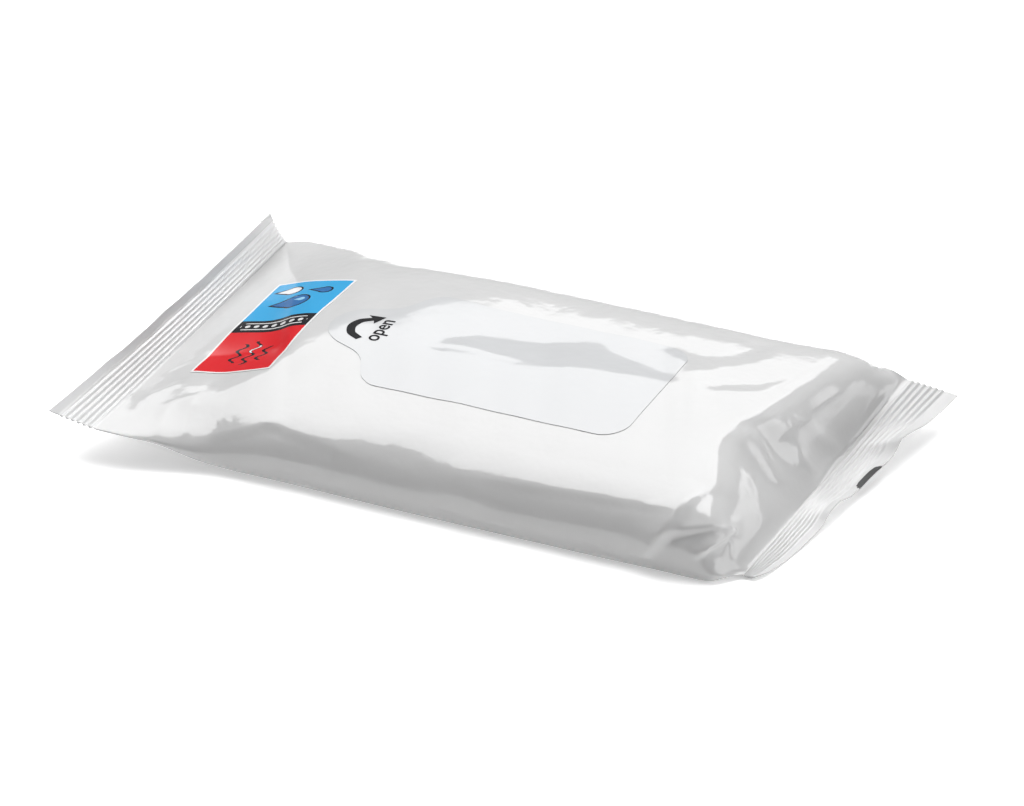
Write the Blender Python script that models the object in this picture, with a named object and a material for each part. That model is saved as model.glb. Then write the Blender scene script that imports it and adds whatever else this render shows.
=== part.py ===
"""Wet wipes travel pack: a sealed flow-wrap pouch lying on its flat underside, with a glued
peel-open label and a small printed sticker. Metres, +X along the pack, +Z up."""

import bmesh
import bpy
import numpy as np

for old in list(bpy.data.objects):
    bpy.data.objects.remove(old, do_unlink=True)

MM = 0.001
SHIFT = (-1.376, -0.541, 0.0)     # puts the middle of the finished box over the origin
SEAL_IN_LEFT, SEAL_IN_RIGHT = -64.0, 64.0   # where the crimped end seals begin
SEAL_THICK = 0.5
RIBS, RIB_RISE = 6, 0.2         # crimp ribs of each end seal
RIB_FROM, RIB_TO = 0.05, 0.77   # the crimped share of the seal's width; the rest is a flat margin
FIN_NEAR, FIN_FAR = -6.0, 5.0   # the back seal, pressed flat under the pack
FIN_GROOVE = 0.25
LABEL_GAP, LABEL_THICK = 0.3, 0.25
LABEL_X, LABEL_Y, LABEL_HALF, LABEL_CORNER = (-35.0, 33.2), 0.6, 17.65, 5.5
STICKER_X, STICKER_Y = (-56.3, -39.3), (-17.7, 19.9)
BODY_STATIONS, ACROSS = 46, 25


def curve(x, *knots):
    """A smooth line through (x, y) knots that never overshoots them."""
    kx = np.array([k[0] for k in knots], float)
    ky = np.array([k[1] for k in knots], float)
    h = np.diff(kx)
    d = np.diff(ky) / h
    m = np.zeros(len(kx))
    both = d[:-1] * d[1:] > 0
    w1, w2 = 2 * h[1:] + h[:-1], h[1:] + 2 * h[:-1]
    a, b = np.where(both, d[:-1], 1), np.where(both, d[1:], 1)
    m[1:-1] = np.where(both, (w1 + w2) / (w1 / a + w2 / b), 0)
    m[0], m[-1] = d[0], d[-1]
    x = np.clip(np.asarray(x, float), kx[0], kx[-1])
    i = np.clip(np.searchsorted(kx, x, side="right") - 1, 0, len(h) - 1)
    f = (x - kx[i]) / h[i]
    start, end = (2 * f**3 - 3 * f**2 + 1) * ky[i], (3 * f**2 - 2 * f**3) * ky[i + 1]
    return start + end + (f**3 - 2 * f**2 + f) * m[i] * h[i] + (f**3 - f**2) * m[i + 1] * h[i]


def ease(a, b, x):
    f = np.clip((x - a) / (b - a), 0, 1)
    return f * f * (3 - 2 * f)


def left_seal(e, t):
    """Middle surface of the left seal: e from 0 at the pouch to 1 at the cut edge, t from -1 to 1."""
    q = (t + 1) / 2
    inner = np.stack([-64.0 - 1.1 * q, -41.0 + 81.7 * q, 7.0 + 1.0 * q], -1)
    outer = np.stack([-73.8 + 7.6 * q + 3.6 * q * (1 - q), -41.5 + 77.2 * q, 9.0 + 7.6 * q], -1)
    bow = (0.2 + 0.9 * q) * 4 * e * (1 - e)
    return inner + e[..., None] * (outer - inner) + bow[..., None] * np.array([-0.6, 0, -0.5])


def right_seal(e, t):
    q = (t + 1) / 2
    y = -29.8 + 71.8 * q
    inner = np.stack([curve(q, (0, 63.2), (0.4, 62.9), (0.75, 64.2), (1, 66.2)), y,
                      curve(q, (0, 0.7), (0.45, 0.9), (0.7, 2.4), (1, 5.8))], -1)
    wide = curve(q, (0, 2.6), (0.04, 4.2), (0.09, 5.6), (0.16, 6.3), (0.35, 6.9), (0.5, 7.4),
                 (0.8, 9.2), (1, 10.4))
    rise = curve(q, (0, 0.1), (0.1, 0.5), (0.3, 1.1), (0.5, 1.6), (0.8, 0.2), (1, -0.6))
    outer = inner + np.stack([wide, 0.6 * q, rise], -1)
    return inner + e[..., None] * (outer - inner)


def sections(s, t):
    """Top and bottom film of the pouch between its seals, at stations s and places t across."""
    yn = curve(s, (-64, -41.0), (-58, -39.8), (-50, -37.6), (-40, -35.6), (-25, -35.0), (0, -35.2),
               (35, -35.2), (52, -34.8), (59, -34.2), (64, -29.8))
    yf = curve(s, (-64, 40.7), (-58, 39.5), (-50, 37.4), (-40, 35.6), (-25, 35.0), (40, 35.0),
               (52, 36.8), (58, 39.6), (64, 42.0))
    xn = s + curve(s, (-64, 0), (-50, 0), (50, 0), (64, -0.8))
    xf = s + curve(s, (-64, -1.1), (-50, 0), (50, 0), (64, 2.2))
    zn = curve(s, (-64, 7.0), (-54, 5.6), (-42, 3.2), (0, 3.0), (45, 3.0), (56, 2.2), (64, 0.7))
    zf = curve(s, (-64, 8.0), (-54, 7.0), (-40, 5.2), (0, 5.0), (45, 5.0), (52, 6.6), (58, 9.3), (64, 5.8))
    zt = curve(s, (-64, 7.5), (-57, 9.9), (-50, 12.0), (-41, 14.2), (-30, 15.6), (-8, 16.4),
               (20, 16.4), (42, 15.7), (50, 14.8), (54, 12.8), (59, 6.8), (64, 0.9))
    zb = curve(s, (-64, 7.5), (-56, 4.0), (-45, -0.2), (-36, -0.8), (56, -0.8), (60, -0.4), (64, 0.9))
    near = curve(s, (-64, 1.02), (-58, 1.5), (-50, 1.9), (-38, 2.4), (-20, 2.6), (20, 2.7),
                 (45, 2.8), (54, 2.6), (60, 1.9), (64, 1.02))
    far = curve(s, (-64, 1.02), (-61, 2.6), (-52, 4.2), (-38, 4.6), (20, 4.6), (45, 5), (55, 5),
                (60, 3.5), (64, 1.02))
    low = curve(s, (-64, 1.02), (-57, 1.5), (-48, 2.6), (-38, 4), (0, 5), (58, 5), (61, 3), (64, 1.02))
    turn = np.linspace(0, np.pi / 2, 181)
    film = np.zeros((2, len(s), len(t), 3))
    for i in range(len(s)):
        middle = (yn[i] + yf[i]) / 2
        for k, height, bends in ((0, zt[i], (near[i], far[i])), (1, zb[i], (low[i], low[i]))):
            for half, ye, ze, n in ((t <= 0, yn[i], zn[i], bends[0]), (t > 0, yf[i], zf[i], bends[1])):
                y = middle + (ye - middle) * np.cos(turn) ** (2 / n)
                z = ze + (height - ze) * np.sin(turn) ** (2 / n)
                along = np.concatenate([[0], np.cumsum(np.hypot(np.diff(y), np.diff(z)))])
                share = (1 - np.abs(t[half])) * along[-1]
                film[k, i, half, 1] = np.interp(share, along, y)
                film[k, i, half, 2] = np.interp(share, along, z)
        film[:, i, :, 0] = xn[i] + (xf[i] - xn[i]) * (t + 1) / 2
    film[0, ..., 2] += SEAL_THICK / 2
    film[1, ..., 2] -= SEAL_THICK / 2
    station, across = np.meshgrid(s, t, indexing="ij")
    reach = curve(across, (-1, 0), (-0.8, 4.0), (-0.55, 3.6), (-0.25, -0.8), (0, -1.2), (0.3, 2.0),
                  (0.62, 4.0), (0.8, 5.0), (0.92, 4.0), (1, 0))
    film[0, ..., 0] += reach * ease(36, 52, station) * (1 - ease(54, 64, station))
    lift = np.exp(-(((station + 50) / 9) ** 2)) * ease(0.2, 0.8, across) * (1 - ease(0.93, 1, across))
    film[0, ..., 2] += 1.3 * lift
    flat = ease(-50, -44, station) * (1 - ease(56, 60, station))
    for edge in (FIN_NEAR, FIN_FAR):
        film[1, ..., 2] += np.where(np.abs(film[1, ..., 1] - edge) < 0.3, FIN_GROOVE * flat, 0)
    film[1, ..., 2] = np.where((film[1, ..., 2] < 0), 0, film[1, ..., 2])
    groove = np.abs(np.abs(film[1, ..., 1] - (FIN_NEAR + FIN_FAR) / 2) - (FIN_FAR - FIN_NEAR) / 2) < 0.3
    film[1, ..., 2] = np.where(groove & (film[1, ..., 2] < FIN_GROOVE), FIN_GROOVE * flat, film[1, ..., 2])
    return film


def seal_film(seal, e, t):
    """Both films of one end seal, each half its thickness from the ribbed middle surface."""
    E, T = np.meshgrid(e, t, indexing="ij")
    step = 0.01
    along = seal(E + step, T) - seal(E - step, T)
    across = seal(E, T + step) - seal(E, T - step)
    face = np.cross(along, across)
    face /= np.linalg.norm(face, axis=-1, keepdims=True)
    face *= np.sign(face[..., 2:3])
    turned = ease(0, 0.3, E)[..., None]
    face = face * turned + np.array([0, 0, 1]) * (1 - turned)
    face /= np.linalg.norm(face, axis=-1, keepdims=True)
    share = (E - RIB_FROM) / (RIB_TO - RIB_FROM)
    wave = np.where((share > 0) & (share < 1), np.sin(2 * np.pi * RIBS * share), 0)
    middle = seal(E, T) + face * (RIB_RISE * wave)[..., None]
    return np.stack([middle + face * SEAL_THICK / 2, middle - face * SEAL_THICK / 2])


def closed_mesh(name, films):
    """One closed solid from two matching grids of points, (2, rows, columns, 3)."""
    _, rows, columns, _ = films.shape
    mesh = bmesh.new()
    grid = [[[mesh.verts.new((p + SHIFT) * MM) for p in row] for row in film] for film in films]
    top, bottom = grid
    for i in range(rows - 1):
        for j in range(columns - 1):
            mesh.faces.new((top[i][j], top[i + 1][j], top[i + 1][j + 1], top[i][j + 1]))
            mesh.faces.new((bottom[i][j], bottom[i][j + 1], bottom[i + 1][j + 1], bottom[i + 1][j]))
        for j in (0, columns - 1):
            mesh.faces.new((top[i][j], bottom[i][j], bottom[i + 1][j], top[i + 1][j]))
    for j in range(columns - 1):
        for i in (0, rows - 1):
            mesh.faces.new((top[i][j], top[i][j + 1], bottom[i][j + 1], bottom[i][j]))
    bmesh.ops.recalc_face_normals(mesh, faces=mesh.faces)
    data = bpy.data.meshes.new(name)
    mesh.to_mesh(data)
    mesh.free()
    thing = bpy.data.objects.new(name, data)
    pack.objects.link(thing)
    return thing


def paint(thing, name, colour, roughness):
    material = bpy.data.materials.new(name)
    material.use_nodes = True
    shader = material.node_tree.nodes["Principled BSDF"]
    shader.inputs["Base Color"].default_value = (*colour, 1)
    shader.inputs["Roughness"].default_value = roughness
    thing.data.materials.append(material)


def top_height(x, y):
    """Height of the pouch's top film at points of the plan."""
    stations = np.unique(x)
    film = sections(stations, np.linspace(-0.98, 0.98, 161))[0]
    heights = np.zeros(x.shape)
    for station, row in zip(stations, film):
        here = x == station
        heights[here] = np.interp(y[here], row[:, 1], row[:, 2])
    return heights


def laid_on_top(name, x, low, high, rows):
    """A thin sheet resting on the top film, from low(x) to high(x) at each x."""
    share = np.linspace(0, 1, rows)
    X = np.repeat(x[:, None], rows, 1)
    Y = low[:, None] + (high - low)[:, None] * share
    Z = top_height(X, Y)
    under = np.stack([X, Y, Z + LABEL_GAP], -1)
    over = np.stack([X, Y, Z + LABEL_GAP + LABEL_THICK], -1)
    return closed_mesh(name, np.stack([over, under]))


pack = bpy.data.collections.new("wet_wipes_pack")
bpy.context.scene.collection.children.link(pack)

# The pouch: its two crimped ends and the filled body between them, as one sealed solid.
even = np.linspace(-1, 1, ACROSS)
half_width = 37.4
fin = [(edge + side) / half_width for edge in (FIN_NEAR, FIN_FAR) for side in (-0.5, -0.25, 0.25, 0.5)]
spread = 0.55 * np.sin(np.pi * even / 2) + 0.45 * even
kept = [v for v in spread if min(abs(v - f) for f in fin) > 0.02]
t = np.array(sorted(kept + fin))
ribbed = np.linspace(RIB_FROM, RIB_TO, 3 * RIBS + 1)
e = np.concatenate([[0.02], ribbed, [0.86, 1.0]])
s = np.linspace(SEAL_IN_LEFT, SEAL_IN_RIGHT, BODY_STATIONS)
s = 64 * (0.35 * np.sin(np.pi * s / 128) + 0.65 * s / 64)
pouch = np.concatenate(
    [seal_film(left_seal, e[::-1], t), sections(s, t), seal_film(right_seal, e, t)], axis=1)
pouch_piece = closed_mesh("wipes_pouch", pouch)
paint(pouch_piece, "white_film", (0.87, 0.87, 0.87), 0.15)

# The peel-open label: a rounded rectangle with a pull tab towards the left end.
x = np.concatenate([np.linspace(-35, -33, 5), np.linspace(-32, -17, 11), np.linspace(-13, 25, 10),
                    LABEL_X[1] - LABEL_CORNER * (1 - np.sin(np.linspace(0.1, 1.45, 6)))])
half = curve(x, (-35, 1.2), (-34.5, 3.0), (-33, 5.2), (-31, 6.9), (-28.5, 8.1), (-25.5, 9.4),
             (-23.4, 11.5), (-22.1, 14.2), (-20.6, 16.4), (-17.8, LABEL_HALF), (34, LABEL_HALF))
into = np.clip(x - (LABEL_X[1] - LABEL_CORNER), 0, LABEL_CORNER)
half = half - LABEL_CORNER + np.sqrt(LABEL_CORNER**2 - into**2)
centre = LABEL_Y * (1 - ease(-26, -16, x))
label_piece = laid_on_top("reseal_label", x, centre - half, centre + half, 15)
paint(label_piece, "label_film", (0.84, 0.85, 0.87), 0.2)

# The printed sticker on the sloping left end.
x = np.linspace(*STICKER_X, 9)
sticker_piece = laid_on_top(
    "printed_sticker", x, np.full(9, STICKER_Y[0]), np.full(9, STICKER_Y[1]), 15)
paint(sticker_piece, "sticker_print", (0.1, 0.35, 0.6), 0.25)
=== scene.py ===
"""Looks for the wet wipes travel pack: glossy crimped film, a peel-open label and a sticker."""

import math
import bmesh  # noqa: E402
import bpy  # noqa: E402
import numpy as np  # noqa: E402
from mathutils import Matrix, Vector  # noqa: E402


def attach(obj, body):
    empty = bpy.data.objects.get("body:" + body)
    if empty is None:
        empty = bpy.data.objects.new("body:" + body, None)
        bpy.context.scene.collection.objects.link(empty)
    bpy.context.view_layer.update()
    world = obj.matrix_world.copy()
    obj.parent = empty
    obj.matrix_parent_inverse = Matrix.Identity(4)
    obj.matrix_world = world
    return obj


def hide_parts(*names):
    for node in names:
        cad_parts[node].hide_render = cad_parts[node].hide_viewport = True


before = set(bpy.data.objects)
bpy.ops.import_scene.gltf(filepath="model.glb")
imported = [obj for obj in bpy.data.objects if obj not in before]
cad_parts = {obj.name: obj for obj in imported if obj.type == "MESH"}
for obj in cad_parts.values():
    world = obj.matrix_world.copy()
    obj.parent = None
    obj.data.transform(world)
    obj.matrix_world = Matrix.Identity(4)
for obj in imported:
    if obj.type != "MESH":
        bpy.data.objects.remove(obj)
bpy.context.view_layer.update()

MM = 0.001

# The pouch, in millimetres in the frame of the CAD model.
SHIFT = np.array([-1.376, -0.541, 0.0])
SEAL_IN = 64.0                  # stations where the crimped end seals begin
HALF_GIRTH = 38.0               # from the middle of the top film to its near or far edge
FILM_THICK = 0.28               # two films of an end seal, pressed together
RIBS, RIB_RISE = 6, 0.17        # crimp ribs of each end seal
RIB_FROM, RIB_TO = 0.05, 0.77   # their shares of the seal's width, from the pouch outwards
FIN_NEAR, FIN_FAR = -6.0, 5.0   # edges of the back seal under the pack
EYE_AT, EYE_HALF, EYE_IN = 10.7, 4.1, 0.17      # black mark at the right seal's cut edge
ACROSS, ALONG, ALONG_SEAL = 132, 216, 50        # points across and along the body and a seal

# The label, its ink and the sticker.
LABEL_X, LABEL_Y, LABEL_HALF, LABEL_CORNER = (-35.0, 33.2), 0.6, 17.65, 5.5
LABEL_THICK, LABEL_LIFT = 0.09, 0.02
INK_LIFT, INK_THICK = 0.015, 0.03
STICKER_X, STICKER_Y = (-56.3, -39.3), (-17.7, 19.9)

FLOOR_GLOW = 0.31


# ---------------------------------------------------------------- lines and waves
def curve(x, *knots):
    """A smooth line through (x, y) knots that never overshoots them."""
    kx = np.array([k[0] for k in knots], float)
    ky = np.array([k[1] for k in knots], float)
    h = np.diff(kx)
    d = np.diff(ky) / h
    m = np.zeros(len(kx))
    both = d[:-1] * d[1:] > 0
    w1, w2 = 2 * h[1:] + h[:-1], h[1:] + 2 * h[:-1]
    a, b = np.where(both, d[:-1], 1), np.where(both, d[1:], 1)
    m[1:-1] = np.where(both, (w1 + w2) / (w1 / a + w2 / b), 0)
    m[0], m[-1] = d[0], d[-1]
    x = np.clip(np.asarray(x, float), kx[0], kx[-1])
    i = np.clip(np.searchsorted(kx, x, side="right") - 1, 0, len(h) - 1)
    f = (x - kx[i]) / h[i]
    start, end = (2 * f**3 - 3 * f**2 + 1) * ky[i], (3 * f**2 - 2 * f**3) * ky[i + 1]
    return start + end + (f**3 - 2 * f**2 + f) * m[i] * h[i] + (f**3 - f**2) * m[i + 1] * h[i]


def ease(a, b, x):
    """0 up to a and 1 from b on, with a smooth step between."""
    f = np.clip((x - a) / (b - a), 0, 1)
    return f * f * (3 - 2 * f)


def waves(x, y, shortest, longest, lean, seed, count=14):
    """A smooth random sheet of waves, about 1 high, that run mostly across the lean direction."""
    pick = np.random.RandomState(seed)
    total = np.zeros(np.broadcast(x, y).shape)
    for _ in range(count):
        length = math.exp(pick.uniform(math.log(shortest), math.log(longest)))
        way = lean + pick.normal(0, 0.55)
        phase = pick.uniform(0, 2 * math.pi)
        total += np.sin(2 * np.pi * (x * math.sin(way) + y * math.cos(way)) / length + phase)
    return total / math.sqrt(count / 2)


def fold(x, y, start, end, width, rise, lop=0.0):
    """A soft crease from start to end, rise high, that is steeper on one side when lop isn't 0."""
    ax, ay = start
    bx, by = end
    length = math.hypot(bx - ax, by - ay)
    ux, uy = (bx - ax) / length, (by - ay) / length
    along = ((x - ax) * ux + (y - ay) * uy) / length
    off = ((y - ay) * ux - (x - ax) * uy) / width
    off = off * np.where(off > 0, 1 + lop, 1 - lop)
    taper = np.exp(-np.clip(-along, 0, None) ** 2 * (length / width) ** 2 * 0.5)
    taper = taper * np.exp(-np.clip(along - 1, 0, None) ** 2 * (length / width) ** 2 * 0.5)
    swell = np.sin(np.pi * np.clip(along * 0.8 + 0.1, 0, 1)) ** 0.7
    return rise * np.exp(-off**2) * taper * swell


def inside(x, y, outline, soft):
    """1 inside an outline and 0 outside it, over a soft edge."""
    corners = np.array(outline, float)
    odd = np.zeros(x.shape, bool)
    gap = np.full(x.shape, 1e9)
    for (ax, ay), (bx, by) in zip(corners, np.roll(corners, -1, axis=0)):
        dx, dy = bx - ax, by - ay
        f = np.clip(((x - ax) * dx + (y - ay) * dy) / (dx * dx + dy * dy), 0, 1)
        gap = np.minimum(gap, np.hypot(x - ax - f * dx, y - ay - f * dy))
        if ay != by:
            odd ^= ((ay > y) != (by > y)) & (x < ax + (y - ay) * dx / dy)
    return ease(-soft, soft, np.where(odd, gap, -gap))


def pleat(x, y, start, end, right, left, rise):
    """A sharp crease from start to end, rise high, with its own width on each side."""
    ax, ay = start
    bx, by = end
    length = math.hypot(bx - ax, by - ay)
    ux, uy = (bx - ax) / length, (by - ay) / length
    along = (x - ax) * ux + (y - ay) * uy
    off = (y - ay) * ux - (x - ax) * uy
    side = np.where(off > 0, off / left, -off / right)
    ends = ease(-0.35 * length, 0.2 * length, along) * (1 - ease(0.8 * length, 1.35 * length, along))
    return rise * np.clip(1 - side, 0, 1) ** 1.2 * ends


# ---------------------------------------------------------------- slack in the top film
LEAN_WAY = math.radians(25.0)   # the top's slack folds lie across this heading

# Patches of the top film that lean, in degrees, with the softness of their edge.
SLACK = (
    (-5.2, 0.6, ((-12.7, -2.8), (-11.8, 2.5), (-7.0, 6.8), (4.5, 9.2), (14.4, 14.4), (18.6, 11.1),
                 (28.4, 9.0), (34.3, 7.2), (34.3, 5.0), (24.6, 3.6), (14.4, 1.2), (5.7, -1.4),
                 (-3.3, -1.4), (-8.0, -2.0))),
    (10.0, 0.35, ((-12.3, -1.3), (-5.9, -0.5), (0.5, -0.6), (6.5, -0.3), (0.5, 0.4), (-5.9, 0.7),
                  (-12.0, 0.0))),
    (-7.0, 0.6, ((27.1, 16.1), (28.0, 17.8), (34.6, 17.7), (39.7, 20.6), (42.7, 25.7), (45.1, 27.3),
                 (46.4, 24.2), (44.5, 19.0), (39.6, 14.8), (35.9, 10.2), (33.9, 10.0), (33.6, 12.6))),
    (-9.0, 0.8, ((40.0, 5.2), (42.1, 8.9), (48.2, 12.8), (54.6, 20.4), (49.5, 9.9), (45.5, 7.3))),
    (-9.0, 0.5, ((45.4, -2.6), (47.0, 0.6), (46.6, -2.4))),
    (-2.4, 0.9, ((-60, 20), (-34, 1), (-31, 6.2), (-25.8, 4.4), (-17.1, 17.6), (-11.4, 23.4),
                 (-3.1, 25.7), (6.7, 24.7), (7.7, 21.6), (13.1, 25.0), (21.1, 23.7), (25.5, 26.8),
                 (34.0, 24.8), (40.5, 26.6), (50, 31), (56, 42), (-60, 42))),
    (4.5, 0.5, ((31.1, 30.8), (35.2, 28.9), (40.5, 26.9), (47.0, 29.5), (52.0, 31.5), (41.9, 31.0))),
    (2.0, 2.0, ((-49, -33), (-43, -23), (-38, -18), (-37, -9), (-33, 0), (-22, 0),
                (-26, -24), (-40, -33))),
    (-9.0, 1.0, ((-63, -37), (-56.3, -34.2), (-49.5, -28.3), (-43.4, -22.4), (-39.5, -18), (-38.3, -12),
                 (-42, -8), (-62, -12))),
    (1.2, 3.0, ((-36, -22), (-10, 20), (48, 24), (50, -24))),
)


def slumps(x, y):
    """Height of the top film's slack folds over the plan, summed from how each patch leans."""
    step = 0.4
    ahead, aside = np.meshgrid(np.arange(-54, 64, step), np.arange(-76, 76, step), indexing="ij")
    sin, cos = math.sin(LEAN_WAY), math.cos(LEAN_WAY)
    px, py = aside * cos - ahead * sin, aside * sin + ahead * cos
    lean = 0.35 * waves(px, py, 9, 26, LEAN_WAY, 4)
    for degrees, soft, outline in SLACK:
        lean = lean + degrees * inside(px, py, outline, soft)
    held = inside(px, py, ((-60, -36), (-56, 34), (54, 34), (50, -31)), 3.0)
    lean = lean * held
    lean = lean - held * lean.sum(0) / np.maximum(held.sum(0), 8)
    rise = np.cumsum(np.tan(np.radians(lean)), axis=0) * step
    i = np.clip((x * -sin + y * cos - ahead[0, 0]) / step, 0, len(ahead) - 1.001)
    j = np.clip((x * cos + y * sin - aside[0, 0]) / step, 0, ahead.shape[1] - 1.001)
    i0, j0 = i.astype(int), j.astype(int)
    fi, fj = i - i0, j - j0
    return ((rise[i0, j0] * (1 - fi) + rise[i0 + 1, j0] * fi) * (1 - fj)
            + (rise[i0, j0 + 1] * (1 - fi) + rise[i0 + 1, j0 + 1] * fi) * fj)


# Creases at the corners of the pouch (start, end, width to the right and left, rise), and soft
# dents of the end slopes (start, end, width, rise, lop), in stations and distances across the film.
CREASES = (
    ((48.9, 12.2), (46.0, 0.6), 5.0, 1.9, 1.2),
    ((47.6, 5.2), (57.4, 9.8), 1.1, 6.4, 0.95),
    ((57.2, 9.6), (55.0, 3.4), 2.4, 1.0, 0.8),
    ((57.5, 8.0), (62.5, 2.6), 1.2, 1.6, 0.45),
    ((14.0, 7.4), (49.0, 9.6), 1.6, 7.0, 0.28),
    ((-42.0, 4.6), (-32.0, 8.4), 2.0, 6.0, 0.4),
    ((-32.0, 8.4), (-16.0, 6.2), 1.8, 6.0, 0.35),
    ((-50.5, 10.5), (-48.5, 2.0), 2.6, 1.2, 0.3),
    ((-54.5, 9.0), (-53.5, 2.5), 2.2, 1.2, 0.25),
)
DENTS = (
    ((-60.5, 13.0), (-55.0, 18.5), 0.9, 0.14, 0.3),
    ((-62.0, 21.0), (-57.5, 27.0), 0.9, 0.16, -0.3),
    ((-57.0, 9.0), (-50.0, 13.0), 0.8, 0.1, 0.3),
    ((-61.5, 62.0), (-56.0, 58.0), 0.9, 0.14, 0.3),
    ((53.4, 35.0), (59.6, 31.2), 1.8, 0.42, 0.3),
    ((56.0, 46.4), (61.8, 52.4), 1.3, 0.22, 0.3),
    ((58.0, 40.8), (62.8, 41.8), 1.2, 0.14, 0.3),
)


# ---------------------------------------------------------------- the pouch film
def left_seal(e, t):
    """Middle surface of the left seal: e from 0 at the pouch to 1 at the cut edge, t from -1 to 1."""
    q = (t + 1) / 2
    inner = np.stack([-64.0 - 1.1 * q, -41.0 + 81.7 * q, 7.0 + 1.0 * q], -1)
    outer = np.stack([-73.8 + 7.6 * q + 3.6 * q * (1 - q), -41.5 + 77.2 * q, 9.0 + 7.6 * q], -1)
    bow = (0.1 + 0.35 * q) * 4 * e * (1 - e)
    middle = inner + e[..., None] * (outer - inner) + bow[..., None] * np.array([-0.6, 0, -0.5])
    y = middle[..., 1]
    creased = ease(-38, -28, y) * (1 - ease(8, 18, y)) * ease(0.72, 0.84, e) * (1 - 0.55 * ease(0.9, 1, e))
    ripple = 0.1 * np.sin(y / 1.55 - 2.6 * e) + 0.16 * np.sin(y / 3.7 + 1.0 + 1.2 * e)
    return middle + (creased * ripple)[..., None] * np.array([-0.75, 0, 0.65])


def right_seal(e, t):
    """Middle surface of the right seal, whose cut edge rises and falls and has a step over the fin."""
    q = (t + 1) / 2
    y = -29.8 + 71.8 * q
    start = curve(q, (0, 63.2), (0.4, 63.0), (0.6, 63.3), (0.76, 64.0), (0.89, 65.4), (1, 66.6))
    height = curve(q, (0, 0.7), (0.45, 0.75), (0.6, 1.1), (0.76, 2.3), (0.89, 4.7), (1, 6.6))
    inner = np.stack([start, y, height], -1)
    reach = curve(q, (0, 65.6), (0.04, 66.9), (0.14, 68.3), (0.5, 71.3), (1, 76.6))
    rim = curve(q, (0, 0.9), (0.06, 0.45), (0.2, 0.4), (0.28, 1.0), (0.31, 1.3), (0.345, 2.5),
                (0.39, 2.8), (0.46, 2.0), (0.58, 2.9), (0.66, 3.2), (0.685, 4.0), (0.72, 5.7),
                (0.76, 5.4), (0.86, 4.5), (1, 5.2))
    outer = np.stack([reach, y + 0.6 * q, rim], -1)
    over_fin = ease(FIN_NEAR - 3.2, FIN_NEAR - 1.6, y) * (1 - ease(FIN_FAR - 1, FIN_FAR + 1, y))
    crumple = 0.14 * np.sin(y / 1.9 + 3.0 * e) * (1 - ease(0.35, 0.6, q))
    ripple = (0.28 * over_fin + crumple) * ease(0, 0.3, e)
    out = inner + (e**1.25)[..., None] * (outer - inner) * np.array([0, 0, 1])
    out += e[..., None] * (outer - inner) * np.array([1, 1, 0])
    return out + ripple[..., None] * np.array([0.2, 0, 1])


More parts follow.
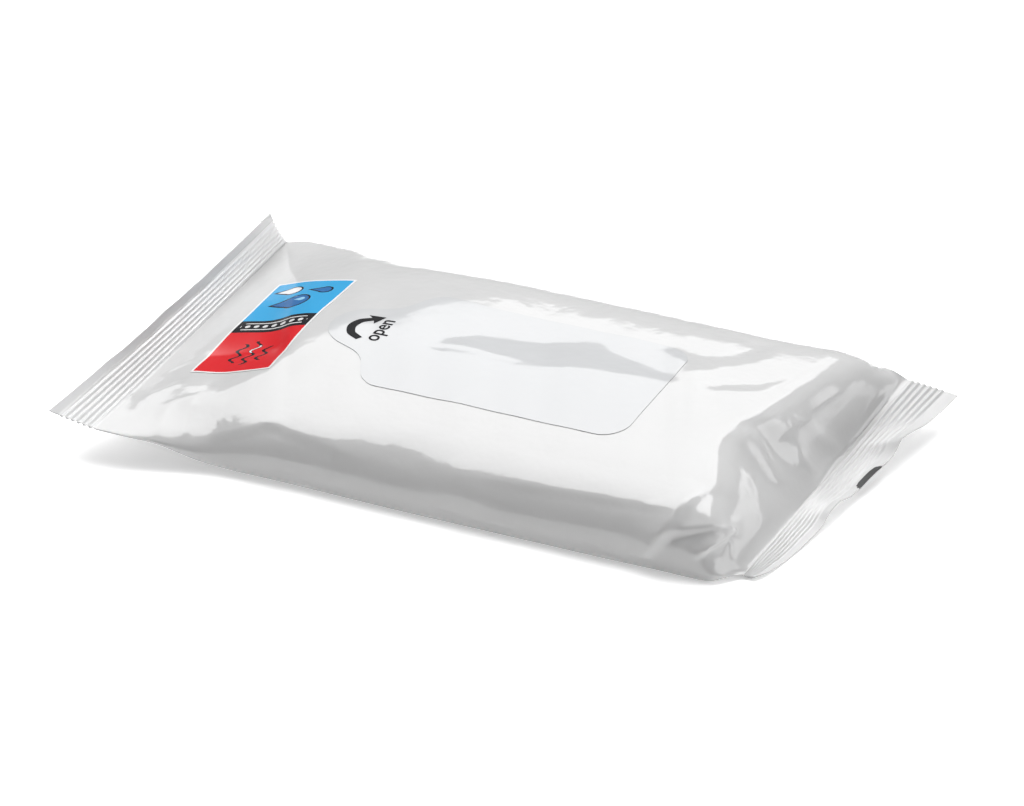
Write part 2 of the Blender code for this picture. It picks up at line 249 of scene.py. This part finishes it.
def sections(s, t):
    """Top and bottom film of the pouch between its seals, at stations s and places t across.

    Each section goes from a near edge (yn, zn) to a far edge (yf, zf) over the height zt and under
    the height zb. The near, far and low lines give how square its bends are.
    """
    yn = curve(s, (-64, -41.0), (-58, -39.8), (-50, -37.6), (-40, -35.6), (-25, -35.0), (0, -35.2),
               (35, -35.2), (52, -34.8), (59, -34.2), (64, -29.8))
    yf = curve(s, (-64, 40.7), (-58, 40.5), (-50, 39.4), (-40, 36.8), (-34, 35.6), (-25, 35.0), (40, 35.0),
               (52, 37.0), (58, 40.6), (64, 42.0))
    pull_left, pull_right = 1 - ease(-64, -50, s), ease(50, 64, s)
    left_line = left_seal(np.zeros(len(t)), t)
    right_line = right_seal(np.zeros(len(t)), t)
    zn = curve(s, (-64, 7.0), (-54, 5.6), (-42, 3.2), (0, 3.0), (45, 3.0), (56, 2.2), (64, 0.7))
    zf = curve(s, (-64, 8.0), (-58, 9.2), (-50, 9.0), (-42, 7.0), (-36, 5.6), (0, 5.0), (45, 5.0), (53, 6.2),
               (57, 8.0), (60, 8.6), (64, 6.6))
    zt = curve(s, (-64, 7.5), (-57, 9.9), (-50, 12.0), (-41, 14.2), (-30, 15.6), (-8, 16.4),
               (20, 16.4), (44, 16.1), (49.5, 15.8), (52.5, 14.6), (58, 8.2), (64, 0.9))
    far_up = curve(s, (44, 0), (51, 0.2), (56, 1.2), (60, 3.2), (62, 3.6), (64, 0.0))
    zb = curve(s, (-64, 7.5), (-56, 4.0), (-45, -0.2), (-36, -0.8), (56, -0.8), (60, -0.4), (64, 0.9))
    near = curve(s, (-64, 1.02), (-60, 1.4), (-55, 1.5), (-50, 1.6), (-44, 1.9), (-37, 2.35), (-20, 2.45),
                 (20, 2.5), (45, 2.7), (54, 2.6), (60, 1.9), (64, 1.02))
    far = curve(s, (-64, 1.02), (-61, 2.6), (-52, 4.2), (-38, 5.2), (-20, 6.2), (20, 6.6), (45, 6.6),
                (55, 5.5), (60, 3.5), (64, 1.02))
    low = curve(s, (-64, 1.02), (-57, 1.5), (-48, 2.6), (-38, 4), (0, 5), (58, 5), (61, 3), (64, 1.02))
    turn = np.linspace(0, np.pi / 2, 181)
    film = np.zeros((2, len(s), len(t), 3))
    for i in range(len(s)):
        middle = (yn[i] + yf[i]) / 2
        for k, height, bends in ((0, zt[i], (near[i], far[i])), (1, zb[i], (low[i], low[i]))):
            for half, ye, ze, n in ((t <= 0, yn[i], zn[i], bends[0]), (t > 0, yf[i], zf[i], bends[1])):
                out = np.cos(turn) ** (2 / n)
                y = middle + (ye - middle) * out
                more = far_up[i] * ease(0.25, 1.0, out) if ye > middle and k == 0 else 0
                z = ze + (height + more - ze) * np.sin(turn) ** (2 / n)
                along = np.concatenate([[0], np.cumsum(np.hypot(np.diff(y), np.diff(z)))])
                share = (1 - np.abs(t[half])) * along[-1]
                film[k, i, half, 1] = np.interp(share, along, y)
                film[k, i, half, 2] = np.interp(share, along, z)
        film[:, i, :, 0] = s[i] + (left_line[:, 0] + SEAL_IN) * pull_left[i]
        film[:, i, :, 0] += (right_line[:, 0] - SEAL_IN) * pull_right[i]
    film[..., 1:] += (right_line[:, 1:] - film[:, -1:, :, 1:]) * ease(52, 64, s)[:, None, None]
    film[..., 1:] += (left_line[:, 1:] - film[:, :1, :, 1:]) * (1 - ease(-64, -56, s))[:, None, None]
    film[0, ..., 2] += FILM_THICK / 2
    film[1, ..., 2] -= FILM_THICK / 2
    station, across = np.meshgrid(s, t, indexing="ij")
    reach = curve(across, (-1, 0), (-0.8, 3.4), (-0.55, 2.6), (-0.22, -0.6), (-0.08, -0.3), (0.08, 1.8),
                  (0.3, 3.4), (0.62, 5.4), (0.8, 5.2), (0.92, 4.0), (1, 0))
    film[0, ..., 0] += reach * ease(36, 52, station) * (1 - ease(54, 64, station))
    return film


def facing(grid):
    """Unit normals of a grid of points, on the side that top faces look to."""
    down, right = np.gradient(grid, axis=0), np.gradient(grid, axis=1)
    n = np.cross(down, right)
    return n / np.maximum(np.linalg.norm(n, axis=-1, keepdims=True), 1e-9)


def top_wrinkles(station, w):
    """How far the top film stands off its smooth shape, at stations and distances w across it."""
    left = ease(-64, -60, station) * (1 - ease(-58, -38, station))
    right = (1 - ease(60, 64, station)) * ease(48, 57, station)
    high = 0.03 * waves(station * 0.15, w, 7, 16, 0.0, 3) * right
    high += 0.06 * waves(station * 0.15, w, 9, 20, 0.0, 6) * left
    front = np.exp(-((w - 5) / 6) ** 2) * ease(-52, -40, station) * (1 - ease(36, 46, station))
    high += 0.16 * waves(station, w, 12, 30, 1.3, 12) * front
    for crease in CREASES:
        high += pleat(station, w, *crease)
    for dent in DENTS:
        high += fold(station, w, *dent)
    return high


def film_sheets():
    """The body's top and bottom films, wrinkled, with the stations and places across."""
    even = np.linspace(-1, 1, ACROSS)
    t = 0.4 * np.sin(np.pi * even / 2) + 0.6 * even
    s = np.linspace(-SEAL_IN, SEAL_IN, ALONG)
    s = SEAL_IN * (0.3 * np.sin(np.pi * s / (2 * SEAL_IN)) + 0.7 * s / SEAL_IN)
    film = sections(s, t)
    station, across = np.meshgrid(s, t, indexing="ij")
    w = (across + 1) * HALF_GIRTH
    film[0] += facing(film[0]) * top_wrinkles(station, w)[..., None]
    upper = ease(-0.9, -0.7, across) * (1 - ease(0.75, 0.95, across))
    film[0, ..., 2] += slumps(film[0, ..., 0], film[0, ..., 1]) * upper
    flat = ease(-50, -44, station) * (1 - ease(56, 60, station))
    for edge in (FIN_NEAR, FIN_FAR):
        film[1, ..., 2] += 0.2 * flat * np.exp(-((film[1, ..., 1] - edge) / 0.35) ** 2)
    film[1, ..., 2] = np.maximum(film[1, ..., 2], 0.02)
    film[0, ..., 2] = np.maximum(film[0, ..., 2], 0.04)
    return s, t, film


def seal_sheets(seal, e, t):
    """The upper and lower films of a seal at its shares e and places t, with the shares."""
    E, T = np.meshgrid(e, t, indexing="ij")
    step = 0.01
    along = seal(E + step, T) - seal(E - step, T)
    across = seal(E, T + step) - seal(E, T - step)
    face = np.cross(along, across)
    face /= np.linalg.norm(face, axis=-1, keepdims=True)
    face *= np.sign(face[..., 2:3])
    turned = ease(0, 0.3, E)[..., None]
    face = face * turned + np.array([0, 0, 1]) * (1 - turned)
    face /= np.linalg.norm(face, axis=-1, keepdims=True)
    middle = seal(E, T)
    return np.stack([middle + face * FILM_THICK / 2, middle - face * FILM_THICK / 2]), E


def solid(name, films, marks=None):
    """One closed mesh from two matching grids of points, (2, rows, columns, 3) in millimetres."""
    _, rows, columns, _ = films.shape
    points = (films.reshape(-1, 3) + SHIFT) * MM
    index = np.arange(2 * rows * columns).reshape(2, rows, columns)
    top, low = index

    def quads(a, b, c, d):
        return np.stack([a.ravel(), b.ravel(), c.ravel(), d.ravel()], 1)

    faces = np.concatenate([
        quads(top[:-1, :-1], top[1:, :-1], top[1:, 1:], top[:-1, 1:]),
        quads(low[:-1, :-1], low[:-1, 1:], low[1:, 1:], low[1:, :-1]),
        quads(top[:-1, 0], low[:-1, 0], low[1:, 0], top[1:, 0]),
        quads(top[:-1, -1], top[1:, -1], low[1:, -1], low[:-1, -1]),
        quads(top[0, :-1], top[0, 1:], low[0, 1:], low[0, :-1]),
        quads(top[-1, :-1], low[-1, :-1], low[-1, 1:], top[-1, 1:]),
    ])
    mesh = bpy.data.meshes.new(name)
    mesh.from_pydata(points.tolist(), [], faces.tolist())
    mesh.update()
    for mark, values in (marks or {}).items():
        layer = mesh.attributes.new(mark, "FLOAT", "POINT")
        layer.data.foreach_set("value", np.ascontiguousarray(values, np.float32).ravel())
    mesh.shade_smooth()
    mesh.set_sharp_from_angle(angle=math.radians(50))
    thing = bpy.data.objects.new(name, mesh)
    bpy.context.scene.collection.objects.link(thing)
    return thing


# ---------------------------------------------------------------- shader sentences
class Sock:
    """A shader socket that takes part in Python sums, adding its Math nodes as it goes."""

    def __init__(self, tree, out):
        self.tree, self.out = tree, out

    def math(self, operation, *others, flip=False):
        node = self.tree.nodes.new("ShaderNodeMath")
        node.operation = operation
        terms = [*others[::-1], self] if flip else [self, *others]
        for place, term in zip(node.inputs, terms):
            if isinstance(term, Sock):
                self.tree.links.new(term.out, place)
            else:
                place.default_value = term
        return Sock(self.tree, node.outputs[0])

    def __add__(self, other):
        return self.math("ADD", other)

    def __sub__(self, other):
        return self.math("SUBTRACT", other)

    def __rsub__(self, other):
        return self.math("SUBTRACT", other, flip=True)

    def __mul__(self, other):
        return self.math("MULTIPLY", other)

    def __truediv__(self, other):
        return self.math("DIVIDE", other)

    __radd__, __rmul__ = __add__, __mul__

    def over(self, limit, soft=0.0):
        """1 above the limit and 0 below it, over a soft step."""
        if not soft:
            return self.math("GREATER_THAN", limit)
        return ((self - limit) / soft + 0.5).clamped()

    def under(self, limit, soft=0.0):
        return 1 - self.over(limit, soft)

    def clamped(self):
        return self.math("MAXIMUM", 0.0).math("MINIMUM", 1.0)

    def size(self):
        return self.math("ABSOLUTE")

    def sine(self):
        return self.math("SINE")

    def most(self, other):
        return self.math("MAXIMUM", other)

    def wrapped(self, span):
        """The remainder, from 0 to span."""
        return self.math("FLOORED_MODULO", span)


class Finish:
    """A material on one Principled BSDF, with short ways to add nodes."""

    def __init__(self, name, **fixed):
        self.material = bpy.data.materials.new(name)
        self.material.use_nodes = True
        self.tree = self.material.node_tree
        self.shader = self.tree.nodes["Principled BSDF"]
        for socket, value in fixed.items():
            self.shader.inputs[socket.replace("_", " ")].default_value = value

    def node(self, kind, values=None, **settings):
        node = self.tree.nodes.new(kind)
        for key, value in settings.items():
            setattr(node, key, value)
        for key, value in (values or {}).items():
            if isinstance(value, Sock):
                self.tree.links.new(value.out, node.inputs[key])
            else:
                node.inputs[key].default_value = value
        return node

    def place(self):
        """Object coordinates in millimetres, as a vector socket and its three parts."""
        coord = self.node("ShaderNodeTexCoord")
        scaled = self.node("ShaderNodeVectorMath", {0: Sock(self.tree, coord.outputs["Object"])},
                           operation="SCALE")
        scaled.inputs["Scale"].default_value = 1 / MM
        vector = Sock(self.tree, scaled.outputs[0])
        parts = self.node("ShaderNodeSeparateXYZ", {0: vector})
        return [vector] + [Sock(self.tree, out) for out in parts.outputs]

    def mark(self, name):
        node = self.node("ShaderNodeAttribute", attribute_name=name)
        return Sock(self.tree, node.outputs["Fac"])

    def noise(self, vector, scale, detail=3.0, roughness=0.5):
        node = self.node("ShaderNodeTexNoise", {"Vector": vector, "Scale": scale, "Detail": detail,
                                                "Roughness": roughness})
        return Sock(self.tree, node.outputs["Fac"])

    def blend(self, factor, a, b):
        """Colour a where factor is 0 and b where it is 1."""
        node = self.tree.nodes.new("ShaderNodeMix")
        node.data_type = "RGBA"
        for key, value in (("Factor", factor), ("A", a), ("B", b)):
            place = [i for i in node.inputs if i.name == key and
                     i.type == ("VALUE" if key == "Factor" else "RGBA")][0]
            if isinstance(value, Sock):
                self.tree.links.new(value.out, place)
            elif isinstance(value, tuple):
                place.default_value = (*value, 1)
            else:
                place.default_value = value
        return Sock(self.tree, [o for o in node.outputs if o.type == "RGBA"][0])

    def bump(self, height, distance, strength=1.0):
        """Bump of a height in millimetres times distance."""
        node = self.node("ShaderNodeBump", {"Height": height, "Distance": distance * MM,
                                            "Strength": strength})
        self.tree.links.new(node.outputs[0], self.shader.inputs["Normal"])

    def feed(self, **sockets):
        for socket, value in sockets.items():
            self.tree.links.new(value.out, self.shader.inputs[socket.replace("_", " ")])


# ---------------------------------------------------------------- finishes
def film_finish():
    """Glossy white film, duller where it is heat-sealed, with painted light and shade on the end seals and
    the black mark on the right seal.
    """
    f = Finish("white_film", IOR=1.5, Specular_IOR_Level=0.5)
    vector, x, y, _ = f.place()
    tone = f.noise(vector, 0.05, 4)
    base = f.blend(tone, (0.50, 0.50, 0.50), (0.525, 0.525, 0.525))
    at_left, at_right = x.under(-60), x.over(60)
    crimp = f.mark("seal").over(0.02, 0.04) * f.mark("seal").under(RIB_TO + 0.03, 0.05)
    margin = f.mark("seal").over(RIB_TO + 0.03, 0.05)
    # partly painted light: the crimp ribs get a lighter grey than the body film, partly for the duller
    # pressed film and partly to lift the dim end seals
    base = f.blend(crimp, base, (0.58, 0.58, 0.58))
    # painted light: the far part of the left seal's crimp, which turns away from the lamps, is made much
    # lighter
    base = f.blend(crimp * at_left * y.over(0, 40), base, (0.84, 0.84, 0.84))
    # painted shade: the far part of the right seal's crimp is made darker
    base = f.blend(crimp * at_right * y.over(15, 30), base, (0.48, 0.48, 0.48))
    base = f.blend(margin, base, (0.5, 0.5, 0.5))
    # painted shade and painted light: the left seal's margin is made darker, and lighter again towards its
    # far end
    base = f.blend(margin * at_left, base, (0.4, 0.4, 0.405))
    base = f.blend(margin * at_left * y.over(10, 40), base, (0.68, 0.68, 0.68))
    base = f.blend(f.mark("eye").over(0.5, 0.3), base, (0.004, 0.004, 0.004))
    gloss = 0.07 + 0.05 * f.noise(vector, 0.12, 3)
    f.feed(Base_Color=base, Roughness=gloss + 0.2 * crimp + 0.4 * margin)
    f.bump(f.noise(vector, 0.25, 2), 0.12)
    return f.material


def label_finish():
    """Clear-coated white label film, a little darker along its cut edge."""
    f = Finish("label_film", IOR=1.5)
    vector = f.place()[0]
    rim = f.mark("edge").under(0.03, 0.05)
    base = f.blend(rim, (0.488, 0.494, 0.502), (0.4, 0.4, 0.41))
    f.feed(Base_Color=base, Roughness=0.1 + 0.05 * f.noise(vector, 0.2, 3))
    f.bump(f.noise(vector, 0.2, 2), 0.1)
    return f.material


def sticker_finish():
    """Coloured fields with droplets, waves and a dotted band, inside a white border, in millimetres."""
    f = Finish("sticker_print", IOR=1.5)
    x, y = f.mark("along"), f.mark("across")
    edge = f.mark("edge")
    vector = f.place()[0]
    ink, white, navy = (0.01, 0.01, 0.013), (0.68, 0.68, 0.69), (0.024, 0.126, 0.33)
    red, blue, shine, grey = (0.56, 0.013, 0.018), (0.036, 0.31, 0.58), (0.24, 0.49, 0.68), (0.6, 0.6, 0.6)
    middle, band_at, band_half, spacing = 8.5, 18.6, 2.5, 1.9

    def droplet(at_x, at_y, radius):
        dx, dy = x - at_x, y - at_y
        bulb = (dx * dx + dy * dy).under(radius**2)
        tip = (dy.size() - dx * 0.42 - radius).under(0) * dx.under(0)
        return bulb.most(tip)

    def wave(at_x, low, high, width):
        line = (x - at_x - (y * 1.9).sine() * 0.7).size().under(width)
        return line * y.over(low) * y.under(high)

    base = f.blend(y.over(band_at + 2.0), red, blue)
    base = f.blend((y - band_at).size().under(band_half), base, ink)
    droplets = (8.9, 27.6, 2.3, navy), (5.6, 33.0, 1.5, white), (12.6, 32.6, 1.2, navy)
    for at_x, at_y, radius, fill in droplets:
        base = f.blend(droplet(at_x, at_y, radius + 0.4), base, ink)
        base = f.blend(droplet(at_x, at_y, radius), base, fill)
    base = f.blend(droplet(9.6, 28.2, 0.7), base, shine)
    for at_x, low, high in ((6.2, 4.2, 11.6), (9.0, 3.2, 12.6), (11.8, 4.6, 10.4)):
        base = f.blend(wave(at_x, low, high, 0.36), base, ink)
    base = f.blend(wave(9.0, 8.4, 11.0, 0.2), base, white)
    cell_x, cell_y = x.wrapped(spacing) - spacing / 2, y - band_at
    dots = (cell_x * cell_x + cell_y * cell_y).under(0.3) * (x - middle).size().under(7.2)
    lines = (cell_y.size() - 1.3).size().under(0.17) * (x - middle).size().under(6.6)
    base = f.blend(dots.most(lines), base, grey)
    base = f.blend(edge.under(0.42), base, (0.72, 0.72, 0.72))
    f.feed(Base_Color=base, Roughness=0.16 + 0.06 * f.noise(vector, 0.2, 3))
    return f.material


def ink_finish():
    """Matt black printing ink."""
    f = Finish("label_ink", IOR=1.3, Specular_IOR_Level=0.2)
    vector = f.place()[0]
    base = f.blend(f.noise(vector, 0.8, 2), (0.008, 0.008, 0.009), (0.016, 0.016, 0.018))
    f.feed(Base_Color=base, Roughness=0.55 + 0.1 * f.noise(vector, 1.0, 2))
    return f.material


# ---------------------------------------------------------------- pieces
stations, places, body = film_sheets()
seal_steps = np.linspace(0.012, 1.0, ALONG_SEAL)
left, left_share = seal_sheets(left_seal, seal_steps[::-1], places)
right, right_share = seal_sheets(right_seal, seal_steps, places)
films = np.concatenate([left, body, right], axis=1)
seal_share = np.concatenate([left_share, np.zeros((len(stations), len(places))), right_share], 0)
from_eye = ((films[0, ..., 1] - EYE_AT) / EYE_HALF) ** 4 + ((1.02 - seal_share) / EYE_IN) ** 4
eye_mark = (films[0, ..., 0] > 0) * (1 - ease(0.8, 1.2, from_eye))
pouch = solid("pouch_film", films, {"seal": np.stack([seal_share, seal_share]),
                                    "eye": np.stack([eye_mark, eye_mark])})
pouch.data.materials.append(film_finish())


def crimp_ribs(piece):
    """Presses the crimp ribs into the end seals, along the film's own normals."""
    tree = bpy.data.node_groups.new("crimp_ribs", "GeometryNodeTree")
    face = tree.interface
    face.new_socket("Geometry", in_out="INPUT", socket_type="NodeSocketGeometry")
    sizes = {"Ribs": RIBS, "Rib height": RIB_RISE * MM, "Crimp from": RIB_FROM, "Crimp to": RIB_TO}
    for name in sizes:
        face.new_socket(name, in_out="INPUT", socket_type="NodeSocketFloat")
    face.new_socket("Geometry", in_out="OUTPUT", socket_type="NodeSocketGeometry")
    way_in, way_out = tree.nodes.new("NodeGroupInput"), tree.nodes.new("NodeGroupOutput")
    given = {s.name: Sock(tree, s) for s in way_in.outputs}
    share = tree.nodes.new("GeometryNodeInputNamedAttribute")
    share.inputs["Name"].default_value = "seal"
    share = Sock(tree, share.outputs["Attribute"])
    normal = tree.nodes.new("GeometryNodeInputNormal")
    side = tree.nodes.new("GeometryNodeInputNamedAttribute")
    side.inputs["Name"].default_value = "side"
    side = Sock(tree, side.outputs["Attribute"])
    part = (share - given["Crimp from"]) / (given["Crimp to"] - given["Crimp from"])
    on = part.over(0) * part.under(1)
    wave = (part * given["Ribs"] * (2 * math.pi)).sine() * on * given["Rib height"] * side
    push = tree.nodes.new("ShaderNodeVectorMath")
    push.operation = "SCALE"
    tree.links.new(normal.outputs[0], push.inputs[0])
    tree.links.new(wave.out, push.inputs["Scale"])
    move = tree.nodes.new("GeometryNodeSetPosition")
    paint = tree.nodes.new("GeometryNodeSetMaterial")
    paint.inputs["Material"].default_value = piece.data.materials[0]
    whole = tree.nodes.new("GeometryNodeRealizeInstances")
    tree.links.new(given["Geometry"].out, move.inputs["Geometry"])
    tree.links.new(push.outputs[0], move.inputs["Offset"])
    tree.links.new(move.outputs[0], whole.inputs[0])
    tree.links.new(whole.outputs[0], paint.inputs["Geometry"])
    tree.links.new(paint.outputs[0], way_out.inputs[0])
    modifier = piece.modifiers.new("crimp_ribs", "NODES")
    modifier.node_group = tree
    for item in tree.interface.items_tree:
        if item.item_type == "SOCKET" and item.in_out == "INPUT" and item.name in sizes:
            modifier[item.identifier] = float(sizes[item.name])
    made = bpy.data.meshes.new_from_object(piece.evaluated_get(bpy.context.evaluated_depsgraph_get()))
    made.name = piece.data.name
    piece.modifiers.clear()
    piece.data = made


side = np.ones_like(films[..., 0])
side[1] = -1
layer = pouch.data.attributes.new("side", "FLOAT", "POINT")
layer.data.foreach_set("value", side.astype(np.float32).ravel())
crimp_ribs(pouch)
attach(pouch, "root")
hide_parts("wipes_pouch")


def on_top(x, y):
    """Height of the wrinkled top film over points of the plan."""
    grid = body[0]
    z = np.zeros(x.shape)
    for value in np.unique(np.round(y, 2)):
        here = np.abs(y - value) < 0.00501
        gx = np.array([np.interp(value, row[:, 1], row[:, 0]) for row in grid])
        gz = np.array([np.interp(value, row[:, 1], row[:, 2]) for row in grid])
        order = slice(0, int(np.argmax(gx)) + 1)
        z[here] = np.interp(x[here], gx[order], gz[order])
    return z


def laid_on_top(name, x, low, high, rows, marks):
    """A thin sheet lying on the top film, from low to high at each x, with its marks."""
    share = np.linspace(0, 1, rows)
    X = np.repeat(x[:, None], rows, 1)
    Y = np.round(low[:, None] + (high - low)[:, None] * share, 2)
    Z = on_top(X, Y)
    films = np.stack([np.stack([X, Y, Z + LABEL_LIFT + LABEL_THICK], -1),
                      np.stack([X, Y, Z + LABEL_LIFT], -1)])
    return solid(name, films, {k: np.stack([v, v]) for k, v in marks(X, Y).items()})


def label_half(x):
    """Half the label's width at x: its pull tab, its body and its rounded far corners."""
    half = curve(x, (-35, 1.2), (-34.5, 3.0), (-33, 5.2), (-31, 6.9), (-28.5, 8.1), (-25.5, 9.4),
                 (-23.4, 11.5), (-22.1, 14.2), (-20.6, 16.4), (-17.8, LABEL_HALF), (34, LABEL_HALF))
    into = np.clip(x - (LABEL_X[1] - LABEL_CORNER), 0, LABEL_CORNER)
    return half - LABEL_CORNER + np.sqrt(LABEL_CORNER**2 - into**2)


def label_centre(x):
    """Y of the label's middle line, which the pull tab stands a little off."""
    return LABEL_Y * (1 - ease(-26, -16, x))


def label_marks(X, Y):
    """How far each point is inside the label's cut edge."""
    across = label_half(X) - np.abs(Y - label_centre(X))
    return {"edge": np.minimum(across, np.minimum(X - LABEL_X[0], LABEL_X[1] - X))}


end = LABEL_X[1] - LABEL_CORNER * (1 - np.sin(np.linspace(0.03, 1.5, 16)))
x = np.concatenate([np.linspace(-35, -33, 10), np.linspace(-32.6, -17, 40), np.linspace(-16, 27, 60), end])
low, high = label_centre(x) - label_half(x), label_centre(x) + label_half(x)
label = laid_on_top("peel_label", x, low, high, 60, label_marks)
label.data.materials.append(label_finish())
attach(label, "root")
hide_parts("reseal_label")


def printed(name, points, faces):
    """A film of ink on the label: a flat drawing given thickness and laid on the wrinkled film."""
    mesh = bpy.data.meshes.new(name)
    flat = bmesh.new()
    corners = [flat.verts.new((p[0], p[1], 0)) for p in points]
    for face in faces:
        flat.faces.new([corners[i] for i in face])
    bmesh.ops.triangulate(flat, faces=flat.faces[:])
    bmesh.ops.recalc_face_normals(flat, faces=flat.faces[:])
    if sum(face.normal.z for face in flat.faces) < 0:
        bmesh.ops.reverse_faces(flat, faces=flat.faces[:])
    grown = bmesh.ops.extrude_face_region(flat, geom=flat.faces[:])
    lifted = [v for v in grown["geom"] if isinstance(v, bmesh.types.BMVert)]
    every = list(flat.verts)
    at = np.array([v.co[:2] for v in every])
    height = on_top(at[:, 0], at[:, 1]) + LABEL_LIFT + LABEL_THICK
    up = set(lifted)
    for v, z in zip(every, height):
        place = np.array([v.co.x, v.co.y, z + (INK_LIFT + INK_THICK if v in up else INK_LIFT)])
        v.co = Vector((place + SHIFT) * MM)
    bmesh.ops.recalc_face_normals(flat, faces=flat.faces[:])
    flat.to_mesh(mesh)
    flat.free()
    thing = bpy.data.objects.new(name, mesh)
    bpy.context.scene.collection.objects.link(thing)
    thing.data.materials.append(INK)
    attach(thing, "root")


def peel_arrow():
    """A curved arrow, as rows of three points across its line, then the three of its head."""
    steps, barb, head, behind = 22, 1.8, 2.6, 0.3
    share = np.linspace(0, 1, steps)
    line = np.stack([curve(share, (0, -27.1), (0.3, -29.5), (0.55, -30.4), (0.8, -29.8), (1, -28.0)),
                     curve(share, (0, -4.2), (0.3, -2.7), (0.55, -0.2), (0.8, 2.2), (1, 3.8))], 1)
    way = np.gradient(line, axis=0)
    way /= np.linalg.norm(way, axis=1, keepdims=True)
    across = np.stack([-way[:, 1], way[:, 0]], 1)
    half = curve(share, (0, 0.7), (0.5, 0.85), (1, 0.6))[:, None]
    rows = np.stack([line - across * half, line, line + across * half], 1).reshape(-1, 2)
    firsts = [3 * i + j for i in range(steps - 1) for j in (0, 1)]
    faces = [(k, k + 3, k + 4, k + 1) for k in firsts]
    last = len(rows)
    tip = line[-1] + way[-1] * head
    root = line[-1] - way[-1] * behind
    barbs = [root - across[-1] * barb, tip, root + across[-1] * barb]
    faces.append((last - 3, last, last + 1, last + 2, last - 1, last - 2))
    return np.concatenate([rows, barbs]), faces


def word_shape(word, size, at, bold):
    """The outline of a word in the built-in font, with its letters' tops towards -X."""
    font = bpy.data.curves.new("word", "FONT")
    font.body, font.size, font.offset, font.resolution_u = word, size, bold, 5
    maker = bpy.data.objects.new("word", font)
    bpy.context.scene.collection.objects.link(maker)
    bpy.context.view_layer.update()
    mesh = bpy.data.meshes.new_from_object(maker.evaluated_get(bpy.context.evaluated_depsgraph_get()))
    bpy.data.objects.remove(maker)
    work = bmesh.new()
    work.from_mesh(mesh)
    bmesh.ops.remove_doubles(work, verts=work.verts[:], dist=1e-4)
    points = np.array([(at[0] - v.co.y, at[1] + v.co.x) for v in work.verts])
    work.verts.index_update()
    faces = [[v.index for v in face.verts] for face in work.faces]
    work.free()
    return points, faces


INK = ink_finish()
printed("print_arrow", *peel_arrow())
printed("print_open", *word_shape("open", 4.3, (-23.6, -4.0), 0.05))


def sticker_marks(X, Y):
    """Each point's place along and across the sticker, and how far it is inside its edge."""
    edge = np.minimum(np.minimum(X - STICKER_X[0], STICKER_X[1] - X),
                      np.minimum(Y - STICKER_Y[0], STICKER_Y[1] - Y))
    return {"along": X - STICKER_X[0], "across": Y - STICKER_Y[0], "edge": edge}


x = np.linspace(*STICKER_X, 60)
low, high = np.full(len(x), STICKER_Y[0]), np.full(len(x), STICKER_Y[1])
sticker = laid_on_top("sticker", x, low, high, 110, sticker_marks)
sticker.data.materials.append(sticker_finish())
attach(sticker, "root")
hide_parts("printed_sticker")


# ---------------------------------------------------------------- stage, light and camera
def floor_finish():
    """A pale studio floor, lit a little from below."""
    f = Finish("floor", Roughness=0.7, Emission_Strength=FLOOR_GLOW)
    vector = f.place()[0]
    f.feed(Base_Color=f.blend(f.noise(vector, 0.01, 2), (0.94, 0.94, 0.94), (0.96, 0.96, 0.96)))
    f.shader.inputs["Emission Color"].default_value = (1, 1, 1, 1)
    return f.material


bpy.ops.mesh.primitive_plane_add(size=30)
floor = bpy.context.object
floor.name = "floor"
floor.data.materials.append(floor_finish())


def softbox(name, azimuth, elevation, distance, wide, high, glow, fade=(0.0, 0.6)):
    """A softbox facing the pack, whose glow goes from low to high over the fade, shares of its height.

    Azimuth 0 is in front of the pack, 90 off its +X end and 180 behind it.
    """
    a, e = math.radians(azimuth), math.radians(elevation)
    way = Vector((math.sin(a) * math.cos(e), -math.cos(a) * math.cos(e), math.sin(e)))
    data = bpy.data.lights.new(name, "AREA")
    data.shape, data.size, data.size_y = "RECTANGLE", wide, high
    data.energy = math.pi * wide * high
    data.use_nodes = True
    tree = data.node_tree
    shine = tree.nodes["Emission"]
    spot = tree.nodes.new("ShaderNodeNewGeometry")
    split = tree.nodes.new("ShaderNodeSeparateXYZ")
    tree.links.new(spot.outputs["Parametric"], split.inputs[0])
    ramp = tree.nodes.new("ShaderNodeMapRange")
    ramp.interpolation_type = "SMOOTHSTEP"
    for key, value in zip(("From Min", "From Max", "To Min", "To Max"), (*fade, *glow)):
        ramp.inputs[key].default_value = value
    tree.links.new(split.outputs["Y"], ramp.inputs["Value"])
    tree.links.new(ramp.outputs["Result"], shine.inputs["Strength"])
    lamp = bpy.data.objects.new(name, data)
    lamp.location = way * distance
    lamp.rotation_euler = way.to_track_quat("Z", "Y").to_euler()
    bpy.context.scene.collection.objects.link(lamp)


softbox("back_softbox", 213, 56.5, 1.3, 1.75, 1.5, glow=(2.45, 5.0), fade=(0.1, 0.6))
softbox("side_panel", 105, 22, 1.6, 1.3, 0.85, glow=(2.9, 2.9))
softbox("top_fill", 25, 86, 1.7, 2.2, 2.2, glow=(0.4, 0.4))
world = bpy.data.worlds.new("room")
world.use_nodes = True
world.node_tree.nodes["Background"].inputs["Color"].default_value = (0.08, 0.08, 0.082, 1)
bpy.context.scene.world = world
bpy.context.scene.view_settings.view_transform = "Standard"

AZIMUTH, ELEVATION, DISTANCE, LENS = math.radians(25.0), math.radians(28.7), 1.2467, 232.03
AIM = Vector((1.546, -0.541, 7.79)) * MM
back = Vector((math.sin(AZIMUTH) * math.cos(ELEVATION), -math.cos(AZIMUTH) * math.cos(ELEVATION),
               math.sin(ELEVATION)))
lens = bpy.data.cameras.new("camera")
lens.lens, lens.sensor_width = LENS, 36.0
camera = bpy.data.objects.new("camera", lens)
camera.location = AIM + back * DISTANCE
camera.rotation_euler = back.to_track_quat("Z", "Y").to_euler()
bpy.context.scene.collection.objects.link(camera)
bpy.context.scene.camera = camera
